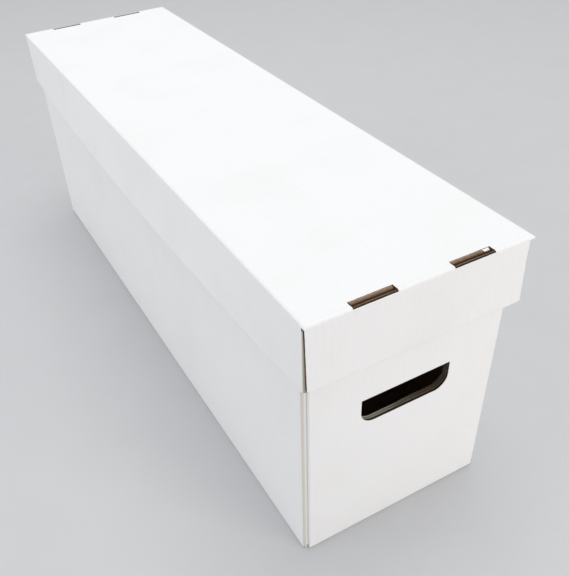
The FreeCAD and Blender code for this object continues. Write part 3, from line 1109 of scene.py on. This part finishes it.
@dataclass(frozen=True)
class LockSlots:
    """The slots at an end crease, and the tabs that fill them."""

    centre: float = 45.0 * MM
    width: float = 39.0 * MM
    tab_clearance: float = 1.0 * MM
    depth: float = 8.1 * MM

    def openings(self) -> list:
        """The start and end across the box of each slot."""
        half = self.width / 2
        return [(side * self.centre - half, side * self.centre + half) for side in (-1, 1)]

    def slot_notches(self, face: float) -> list:
        """The slots cut at both ends of a floor or top sheet.

        Args:
            face: How far out the ends' outer faces lie.

        Returns:
            The notches, open towards the ends.
        """
        found = []
        for end in End:
            low, high = sorted((end.value * (face - self.depth), end.value * FAR_AWAY))
            for start, stop in self.openings():
                found.append(window((start, low, -FAR_AWAY), (stop, high, FAR_AWAY)))
        return found

    def beside_tabs(self, low: float, high: float, slack: float) -> list:
        """The board cut away beside two tabs.

        Args:
            low: Where the cut-away starts, up the panel.
            high: Where it ends.
            slack: How much narrower each tab is than its slot, on each side.

        Returns:
            The notches left, between and right of the tabs.
        """
        tabs = [(start + slack, stop - slack) for start, stop in self.openings()]
        gaps = [(-FAR_AWAY, tabs[0][0]), (tabs[0][1], tabs[1][0]), (tabs[1][1], FAR_AWAY)]
        return [window((start, -FAR_AWAY, low), (stop, FAR_AWAY, high)) for start, stop in gaps]


@dataclass
class Folded:
    """What the tray and the lid share: a sheet, two long sides, and a double layer at each end.

    Attributes:
        body: The body that its pieces ride on, and the first word of their names.
        rolls: 1 where the ends roll over above, -1 where they roll under below.
        corner_grime: How dark the painted shade is on the upright fold at each end's left.
        grime_gain: How steeply that painted shade grows round the fold's first turn.
        slots: The slots that its lock tabs stand in.
        flap_taper: How far the corners of its flaps are cut off.
    """

    body: str
    rolls: int
    corner_grime: float
    grime_gain: float
    slots: LockSlots = LockSlots()
    flap_taper: float = 12.0 * MM

    @property
    def slot_name(self) -> str:
        """The record's material slot of its board."""
        return f"{self.body}_board"

    def panels(self) -> list:
        """Every panel, the sheet first."""
        found = [self.sheet(), self.long_side(-1), self.long_side(1)]
        for end in End:
            found += [self.corner_flap(end, -1), self.corner_flap(end, 1)]
            found += [self.end_panel(end), self.rim(end), self.inner_panel(end)]
        return found

    def rim(self, end: End) -> Panel:
        """The narrow strip where an end rolls over, or under."""
        return Panel(f"{self.body}_{end.word}_rim", UP * self.rolls, ALONG, folds=(ALONG, -ALONG))

    def taper(self, side: int, free: float, place: float, way: int) -> Cut:
        """The cut that takes off a corner of a flap.

        Args:
            side: The side of the box that the flap is on: -1 is left.
            free: Where its free edge is, across the box.
            place: How high the corner is.
            way: 1 for its upper corner, -1 for its lower one.

        Returns:
            The cut.
        """
        return Cut(Vector((free + side * self.flap_taper, 0, place)), Vector((-side, 0, way)))

    def fold_grime(self, side: int, start: float) -> GrimeAndShade:
        """The painted shade of the upright fold at an end's left, from its first turn on.

        Args:
            side: The side of the box: -1 is left.
            start: How far along the box the painted shade starts.

        Returns:
            The share for each place.
        """

        def share(place: Vector, inside: float) -> float:
            """The share at a place."""
            return self.corner_grime * min(1.0, self.grime_gain * inside) if place.y * side > start else 0.0

        return share


@dataclass
class Tray(Folded):
    """The tray: floor, single side walls, and double roll-over ends with a hand hole."""

    body: str = "tray"
    rolls: int = 1
    # Painted shade on the upright fold beside each end panel, and on the flap strip there.
    corner_grime: float = 0.36
    grime_gain: float = 3.0
    hole: HandHole = HandHole()
    floor_curl: float = 2.3 * MM
    layer_curl: float = 2.2 * MM

    def sheet(self) -> Panel:
        """The floor, creased to the side walls, with slots for the inner panels' tabs."""
        return Panel(
            "tray_bottom",
            -UP,
            ALONG,
            folds=(ACROSS, -ACROSS),
            notches=self.slots.slot_notches(-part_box("tray_front_end_panel")[0].y),
            curl=self.floor_curl,
            curled=(ALONG, -ALONG),
        )

    def long_side(self, side: int) -> Panel:
        """A side wall, creased to its corner flaps."""
        folds, grime = (ALONG, -ALONG), self.fold_grime(side, 0.0)
        return Panel(f"tray_{hand(side)}_wall", ACROSS * side, ALONG, folds=folds, meets=(-UP,), grime=grime)

    def corner_flap(self, end: End, side: int) -> Panel:
        """A flap folded in from a side wall, caught between the layers of the end.

        Args:
            end: The end of the box.
            side: The side that it is folded from: -1 is left.

        Returns:
            The flap.
        """
        name = f"tray_{end.word}_{hand(side)}_corner_flap"
        low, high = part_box(name)
        free = high.x if side < 0 else low.x
        beside_panel = abs(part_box("tray_front_end_panel")[0].x) - BESIDE
        hole_grime_and_shade = self.hole.grime(end, self.hole.layer_grime)

        def grime(place: Vector, inside: float) -> float:
            """The grime and painted shade of the hole, and the painted shade of the strip that shows beside
            the end panel.
            """
            return self.corner_grime / 2 if abs(place.x) > beside_panel else hole_grime_and_shade(place, 1.0)

        return Panel(
            name,
            end.out,
            ACROSS,
            meets=(ACROSS * side,),
            cuts=[self.taper(side, free, low.z, -1), self.taper(side, free, high.z, 1)],
            notches=self.hole.inner(end),
            curl=self.layer_curl,
            grime=grime,
        )

    def end_panel(self, end: End) -> Panel:
        """The outer layer of an end, creased to the floor, with the hand hole.

        Args:
            end: The end of the box.

        Returns:
            The panel, darkened with grime and painted shade round its hand hole only.
        """
        edge_grime = self.hole.grime(end, self.hole.edge_grime)
        beside_hole, foot = self.hole.half_width + BESIDE, self.hole.foot - BESIDE

        def grime(place: Vector, inside: float) -> float:
            """The grime and painted shade of the hole's edge."""
            return edge_grime(place, inside) if abs(place.x) < beside_hole and place.z > foot else 0.0

        return Panel(
            f"tray_{end.word}_end_panel",
            end.out,
            UP,
            folds=(-UP,),
            meets=(UP,),
            notches=self.hole.outer(),
            curl=BOARD.thickness,
            curled=(ACROSS, -ACROSS),
            grime=grime,
        )

    def inner_panel(self, end: End) -> Panel:
        """The layer rolled down inside, with two tabs in the floor's slots.

        Args:
            end: The end of the box.

        Returns:
            The panel.
        """
        name = f"tray_{end.word}_inner_panel"
        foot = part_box(name)[0].z + BOARD.thickness
        notches = self.slots.beside_tabs(-FAR_AWAY, foot, self.slots.tab_clearance) + self.hole.inner(end)
        grime = self.hole.grime(end, self.hole.layer_grime)
        return Panel(name, -end.out, UP, meets=(UP,), notches=notches, curl=self.layer_curl, grime=grime)


@dataclass
class HandFlap:
    """A hand-hole flap, built closed in its hole and turned to where it is pushed in."""

    end: End
    inner: bool
    hole: HandHole = HandHole()
    slot_name: str = "flap_board"
    hinge_steps: tuple = (24, 8)
    hinge_tuck: float = 0.22

    @property
    def body(self) -> str:
        """The body that it is."""
        return f"{self.end.word}_inner_flap" if self.inner else f"{self.end.word}_flap"

    @property
    def node(self) -> str:
        """The CAD node that it stands for."""
        return f"{self.end.word}_inner_hand_flap" if self.inner else f"{self.end.word}_hand_flap"

    @property
    def joint(self) -> dict:
        """Its hinge in the frame."""
        return next(joint for joint in frame["joints"] if joint["child"] == self.body)

    @property
    def hinge(self) -> Vector:
        """A point on its hinge line."""
        return Vector(self.joint["pos_m"])

    def pushed(self, share: float) -> Matrix:
        """The turn about its hinge from closed, at share 0, to pushed in, at share 1."""
        whole = math.radians(self.joint["range_deg"][1])
        return Matrix.Rotation(-whole * share, 4, Vector(self.joint["axis"]))

    def living_hinge(self, stock: Stock) -> bpy.types.Object:
        """The strip of liner that bends round the flap's crease and holds it.

        Args:
            stock: The finishes.

        Returns:
            The strip, which bends between the tray and the flap.
        """
        start = self.end.out * BOARD.thickness
        strip = bmesh.new()
        wide, round_bend = self.hinge_steps
        size = Matrix.Diagonal((2 * (self.hole.half_width - self.hole.die_gap), 1, 1, 1))
        bmesh.ops.create_grid(strip, x_segments=wide, y_segments=round_bend, size=0.5, matrix=size)
        for spot in strip.verts:
            share = spot.co.y + 0.5
            tuck = 1 - self.hinge_tuck * math.sin(math.pi * share)
            spot.co = self.hinge + ACROSS * spot.co.x + self.pushed(share) @ start * tuck
        side = Side.KRAFT if self.inner else Side.WHITE
        strip.normal_update()
        middle = sum((face.normal for face in strip.faces), Vector())
        if middle.dot(start) < 0:
            bmesh.ops.reverse_faces(strip, faces=strip.faces[:])
        piece = new_object(f"{self.node}_living_hinge", thicken(strip, BOARD.liner, side), stock.plain)
        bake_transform(piece)
        log.info("%s: %d faces", piece.name, len(piece.data.polygons))
        return piece

    def panel(self) -> Panel:
        """The flap, cut as it lies closed and then pushed in."""
        hinge, gap, hole = self.hinge, self.hole.die_gap, self.hole
        half_width, foot = hole.half_width - gap, hole.foot + gap
        depth = sorted((hinge.y, hinge.y + self.end.value * BOARD.thickness))
        low, high = Vector((-half_width, depth[0], foot)), Vector((half_width, depth[1], hinge.z - gap))
        roundings = hole.outline(half_width, hinge.z, foot, hole.corner - gap).corners
        swing = Matrix.Translation(hinge) @ self.pushed(1) @ Matrix.Translation(-hinge)
        return Panel(
            self.node,
            -self.end.out if self.inner else self.end.out,
            UP,
            meets=(UP,),
            cuts=[Cut(rounding.point, -rounding.normal) for rounding in roundings],
            corners=(low, high),
            shape=lambda place: swing @ place,
        )


@dataclass
class Lid(Folded):
    """The lid: a top creased all round, bowed side skirts, and double ends rolled from below.

    Attributes:
        relief: Width and depth of the small notch where creases meet.
        left_slant: How much further in the end panel's left edge is at its foot than at its top.
        right_slant: The same for its right edge, which is further in at its top.
        slot_grime: How dark the painted shade is on the cuts of the top's slots.
        clean_fold: How far short of the fold that painted shade ends.
        dirty_corner: Width and depth of the end panel's top left corner, painted dark as shade.
        edge_grime: How dark the painted shade is on the end panel's sides, and on its edge in the slots.
        tab_grime: How dark a tab is at its tip, with grime and painted shade, and down in its slot, where the
            painted shade is deeper.
        skirt_cell: The spacing of a bowed skirt's points.
    """

    body: str = "lid"
    rolls: int = -1
    # Painted shade on the upright fold beside each end panel, in the gap by its edge.
    corner_grime: float = 0.68
    grime_gain: float = 2.0
    relief: tuple = (1.6 * MM, 3.0 * MM)
    left_slant: float = 1.6 * MM
    right_slant: float = 3.5 * MM
    slot_grime: float = 1.0
    clean_fold: float = 0.1 * MM
    dirty_corner: tuple = (3.0 * MM, 1.6 * MM)
    edge_grime: tuple = (0.3, 0.5)
    tab_grime: tuple = (0.45, 0.92)
    skirt_cell: float = 16 * MM

    def sheet(self) -> Panel:
        """The top, creased all round, with a slot either side of the middle at each end.

        Returns:
            The panel, painted with shade on the slots' cuts only, short of the fold.
        """
        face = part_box("lid_top")[1].y
        start, stop = self.slots.openings()[1]
        inner, fold = face - self.slots.depth - BESIDE, face - BOARD.crease_radius - self.clean_fold

        def grime(place: Vector, inside: float) -> float:
            """The painted shade of the slots."""
            beside = start - BESIDE < abs(place.x) < stop + BESIDE
            return self.slot_grime * inside if beside and inner < abs(place.y) < fold else 0.0

        folds, notches = (ACROSS, -ACROSS, ALONG, -ALONG), self.slots.slot_notches(face)
        return Panel("lid_top", UP, ALONG, folds=folds, notches=notches, grime=grime)

    def long_side(self, side: int) -> Panel:
        """A long skirt, straight at its crease and standing out in a bow along its lower edge.

        Args:
            side: The side of the box: -1 is left.

        Returns:
            The skirt.
        """
        name = f"lid_{hand(side)}_skirt"
        node_low, node_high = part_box(name)
        lid_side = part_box("lid_top")[1].x
        edges = sorted((side * lid_side, side * (lid_side - BOARD.thickness)))
        half, depth = node_high.y, node_high.z - node_low.z
        bow = max(abs(node_low.x), abs(node_high.x)) - lid_side

        def stand_out(place: Vector) -> Vector:
            """Where a point of the flat skirt goes."""
            share = max(0.0, 1 - (place.y / half) ** 2) * (node_high.z - place.z) / depth
            return place + ACROSS * side * bow * max(0.0, share)

        return Panel(
            name,
            ACROSS * side,
            ALONG,
            folds=(ALONG, -ALONG),
            meets=(UP,),
            notches=[self.relief_notch(ALONG * way, half, node_high.z) for way in (-1, 1)],
            corners=(Vector((edges[0], node_low.y, node_low.z)), Vector((edges[1], half, node_high.z))),
            grime=self.fold_grime(side, half - BOARD.thickness),
            cell=self.skirt_cell,
            shape=stand_out,
        )

    def corner_flap(self, end: End, side: int) -> Panel:
        """A short flap folded in from a skirt, behind the end panel.

        Args:
            end: The end of the box.
            side: The side that it is folded from: -1 is left.

        Returns:
            The flap.
        """
        name = f"lid_{end.word}_{hand(side)}_corner_flap"
        low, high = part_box(name)
        free, hinge = (high.x, low.x) if side < 0 else (low.x, high.x)
        cuts = [self.taper(side, free, low.z, -1)]
        notches = [self.relief_notch(ACROSS * side, abs(hinge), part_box("lid_top")[0].z)]
        return Panel(name, end.out, ACROSS, meets=(ACROSS * side,), cuts=cuts, notches=notches)

    def relief_notch(self, way: Vector, reach: float, top: float) -> Notch:
        """The small notch where creases meet.

        Args:
            way: The way to the panel's edge that it is cut in.
            reach: How far out that edge is.
            top: The panel's upper crease.

        Returns:
            The notch.
        """
        width, depth = self.relief
        return Notch((Cut(way * (reach - width), way), Cut(UP * (top - depth), UP)))

    def end_panel(self, end: End) -> Panel:
        """The outer layer of an end, whose raw upper edge shows in the slots. Its sides are slanted.

        Args:
            end: The end of the box.

        Returns:
            The panel, painted dark with shade at its top left corner, and less at its sides and its edge in
            the slots.
        """
        name = f"lid_{end.word}_end_panel"
        low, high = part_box(name)
        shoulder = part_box("lid_top")[0].z
        height = shoulder - low.z
        left = ACROSS * end.value
        top_left = left * max(abs(low.x), abs(high.x)) + UP * shoulder
        foot_right = -left * min(abs(low.x), abs(high.x)) + UP * low.z
        slants = [
            Cut(top_left, (left * height - UP * self.left_slant).normalized()),
            Cut(foot_right, (-left * height + UP * self.right_slant).normalized()),
        ]
        width, depth = self.dirty_corner
        shaded = (Cut(UP * (shoulder - depth), UP), Cut(top_left - left * width, left))
        # The slant has taken off all of this notch's waste. It only divides the sheets where the painted
        # shade starts.
        shade_line = Notch((shaded[0], Cut(top_left, left)))

        def grime(place: Vector, inside: float) -> float:
            """The painted shade of the top left corner, of the edge in the slots, and of the sides."""
            if all(cut.deeper(TOUCH).wastes(place) for cut in shaded):
                return self.slot_grime * inside
            return self.edge_grime[place.z > shoulder - BESIDE] * inside

        return Panel(
            name,
            end.out,
            UP,
            meets=(-UP, Cut(UP * shoulder, UP)),
            cuts=slants,
            notches=[*self.slots.beside_tabs(shoulder, FAR_AWAY, 0.0), shade_line],
            grime=grime,
            trough=top_left,
        )

    def inner_panel(self, end: End) -> Panel:
        """The layer rolled up inside, with two tabs that hook into the top's slots.

        Args:
            end: The end of the box.

        Returns:
            The panel, with its inner liner pressed over the tabs' tips.
        """
        name = f"lid_{end.word}_inner_panel"
        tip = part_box(name)[1].z
        root = tip - BOARD.thickness

        def grime(place: Vector, inside: float) -> float:
            """The grime and painted shade of the tabs, whose painted shade grows darker down into the slot.
            """
            least, most = self.tab_grime
            down = min(1.0, (tip - place.z) / BOARD.thickness * 2)
            return least + (most - least) * down if place.z > root - BOARD.thickness else 0.0

        notches = self.slots.beside_tabs(root, FAR_AWAY, self.slots.tab_clearance)
        tips = [Cut(UP * tip, UP)]
        return Panel(name, -end.out, UP, meets=(-UP,), notches=notches, tips=tips, grime=grime)


@dataclass(frozen=True)
class TornLiner:
    """A flake of white liner, torn loose, that lies on the end of one lock tab of the lid.

    Attributes:
        start: Where it starts across the box.
        stop: Where it ends.
        far: How far its root is from the slot's inner edge.
        reach: Its greatest length.
        droop: How far its tip hangs down.
        narrowing: How much narrower its tip is, as a share.
        raggedness: How uneven its tip is, as a share.
        tears: How often that changes, per metre.
        cells: Its count of faces across and along.
    """

    start: float = 56.2 * MM
    stop: float = 62.4 * MM
    far: float = 0.9 * MM
    reach: float = 3.2 * MM
    droop: float = 0.5 * MM
    narrowing: float = 0.35
    raggedness: float = 0.5
    tears: float = 700.0
    cells: tuple = (12, 8)

    def tear(self, stock: Stock, lid: Lid) -> bpy.types.Object:
        """Makes the flake.

        Args:
            stock: The finishes.
            lid: The lid that it belongs to.

        Returns:
            The finished flake.
        """
        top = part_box("lid_top")
        root = top[0].y + lid.slots.depth - self.far
        middle = (self.start + self.stop) / 2
        flake = bmesh.new()
        place = Matrix.Translation((middle, root - self.reach / 2, top[1].z))
        place = place @ Matrix.Diagonal((self.stop - self.start, self.reach, 1, 1))
        wide, long = self.cells
        bmesh.ops.create_grid(flake, x_segments=wide, y_segments=long, size=0.5, matrix=place)
        for spot in flake.verts:
            share = (root - spot.co.y) / self.reach
            ragged = 1 + self.raggedness * (noise.noise(Vector((spot.co.x * self.tears, 0, 0))) - 0.5)
            spot.co.y = root - share * self.reach * min(1.0, ragged)
            spot.co.x += (middle - spot.co.x) * share * self.narrowing
            spot.co.z -= self.droop * share * share
        piece = new_object("lid_slot_torn_liner", thicken(flake, BOARD.liner, Side.WHITE), stock.plain)
        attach(piece, lid.body)
        log.info("%s: %d faces", piece.name, len(piece.data.polygons))
        return piece


@dataclass(frozen=True)
class Viewpoint:
    """The camera, standing in front of the box to its left and looking down.

    Attributes:
        place: Where it stands.
        heading: How far it is turned to the right of straight along the box, in degrees.
        tilt: How far it looks down, in degrees.
        roll: How far it leans, in degrees.
        lens: Its focal length in millimetres, on a sensor of the width below.
        sensor: The sensor's width in millimetres.
        shift: How far its picture is moved aside and up, in widths of the picture.
        clip: The nearest and the farthest that it sees, in metres.
    """

    place: tuple = (-289.4 * MM, -684.5 * MM, 586.6 * MM)
    heading: float = 26.47
    tilt: float = 38.98
    roll: float = -3.55
    lens: float = 44.49
    sensor: float = 36.0
    shift: tuple = (0.0397, 0.0428)
    clip: tuple = (0.01, 100.0)

    def set_up(self) -> None:
        """Makes the camera and gives it to the scene."""
        heading, tilt, roll = (math.radians(angle) for angle in (self.heading, self.tilt, self.roll))
        forward = ACROSS * math.sin(heading) + ALONG * math.cos(heading)
        ahead = forward * math.cos(tilt) - UP * math.sin(tilt)
        level = ahead.cross(UP).normalized()
        upright = level.cross(ahead)
        right = level * math.cos(roll) + upright * math.sin(roll)
        above = upright * math.cos(roll) - level * math.sin(roll)
        camera = bpy.data.cameras.new("photo_view")
        camera.lens, camera.sensor_width = self.lens, self.sensor
        camera.shift_x, camera.shift_y = self.shift
        camera.clip_start, camera.clip_end = self.clip
        stand = bpy.data.objects.new("photo_view", camera)
        turn = Matrix((right, above, -ahead)).transposed().to_4x4()
        stand.matrix_world = Matrix.Translation(self.place) @ turn
        bpy.context.scene.collection.objects.link(stand)
        bpy.context.scene.camera = stand


@dataclass(frozen=True)
class SoftLamp:
    """A large soft lamp that faces the box, in metres and watts."""

    name: str
    place: tuple
    size: float
    power: float
    colour: tuple
    aim: tuple = (0.0, 0.0, 0.14)

    def hang(self) -> None:
        """Makes the lamp."""
        lamp = bpy.data.lights.new(self.name, "AREA")
        lamp.shape, lamp.size = "DISK", self.size
        lamp.energy, lamp.color = self.power, self.colour
        holder = bpy.data.objects.new(self.name, lamp)
        turn = (Vector(self.aim) - Vector(self.place)).to_track_quat("-Z", "Y").to_matrix().to_4x4()
        holder.matrix_world = Matrix.Translation(self.place) @ turn
        bpy.context.scene.collection.objects.link(holder)


@dataclass(frozen=True)
class Studio:
    """Plain soft studio light over a plain pale floor."""

    sky: tuple = (0.97, 0.985, 1.0)
    sky_strength: float = 0.72
    lamps: tuple = (
        SoftLamp("overhead", (0.3, 0.25, 2.6), 1.8, 20.5, (1.0, 1.0, 1.0)),
        SoftLamp("front", (1.1, -2.2, 0.55), 1.2, 17.0, (1.0, 0.925, 0.865)),
        SoftLamp("side", (-2.2, 0.3, 0.9), 1.8, 10.5, (0.96, 0.98, 1.0)),
    )

    def light(self) -> None:
        """Makes the floor, the lamps and the surrounding light, whose strength is 1 where it is seen."""
        Floor().lay()
        for lamp in self.lamps:
            lamp.hang()
        world = bpy.data.worlds.new("studio")
        bpy.context.scene.world = world
        world.use_nodes = True
        nodes, wire = world.node_tree.nodes, world.node_tree.links.new
        background = nodes["Background"]
        background.inputs["Color"].default_value = (*self.sky, 1)
        path = nodes.new("ShaderNodeLightPath")
        seen = path.outputs["Is Camera Ray"]
        for ray in ("Is Glossy Ray", "Is Transmission Ray"):
            either = nodes.new("ShaderNodeMath")
            either.operation = "MAXIMUM"
            wire(seen, either.inputs[0])
            wire(path.outputs[ray], either.inputs[1])
            seen = either.outputs[0]
        strength = nodes.new("ShaderNodeMapRange")
        strength.inputs["To Min"].default_value = self.sky_strength
        strength.inputs["To Max"].default_value = 1.0
        wire(seen, strength.inputs["Value"])
        wire(strength.outputs["Result"], background.inputs["Strength"])
        bpy.context.scene.view_settings.view_transform = "Standard"


def main() -> None:
    """Builds the box, then the studio round it."""
    logging.basicConfig(level=logging.INFO, format="%(message)s")
    stock = Stock()
    for part in (Tray(), Lid()):
        for panel in part.panels():
            stock.dress(panel, part.body)
    for end in End:
        for inner in (False, True):
            flap = HandFlap(end, inner)
            stock.dress(flap.panel(), flap.body)
            flap.living_hinge(stock)
    TornLiner().tear(stock, Lid())
    Studio().light()
    Viewpoint().set_up()


if __name__ == "__main__":
    main()
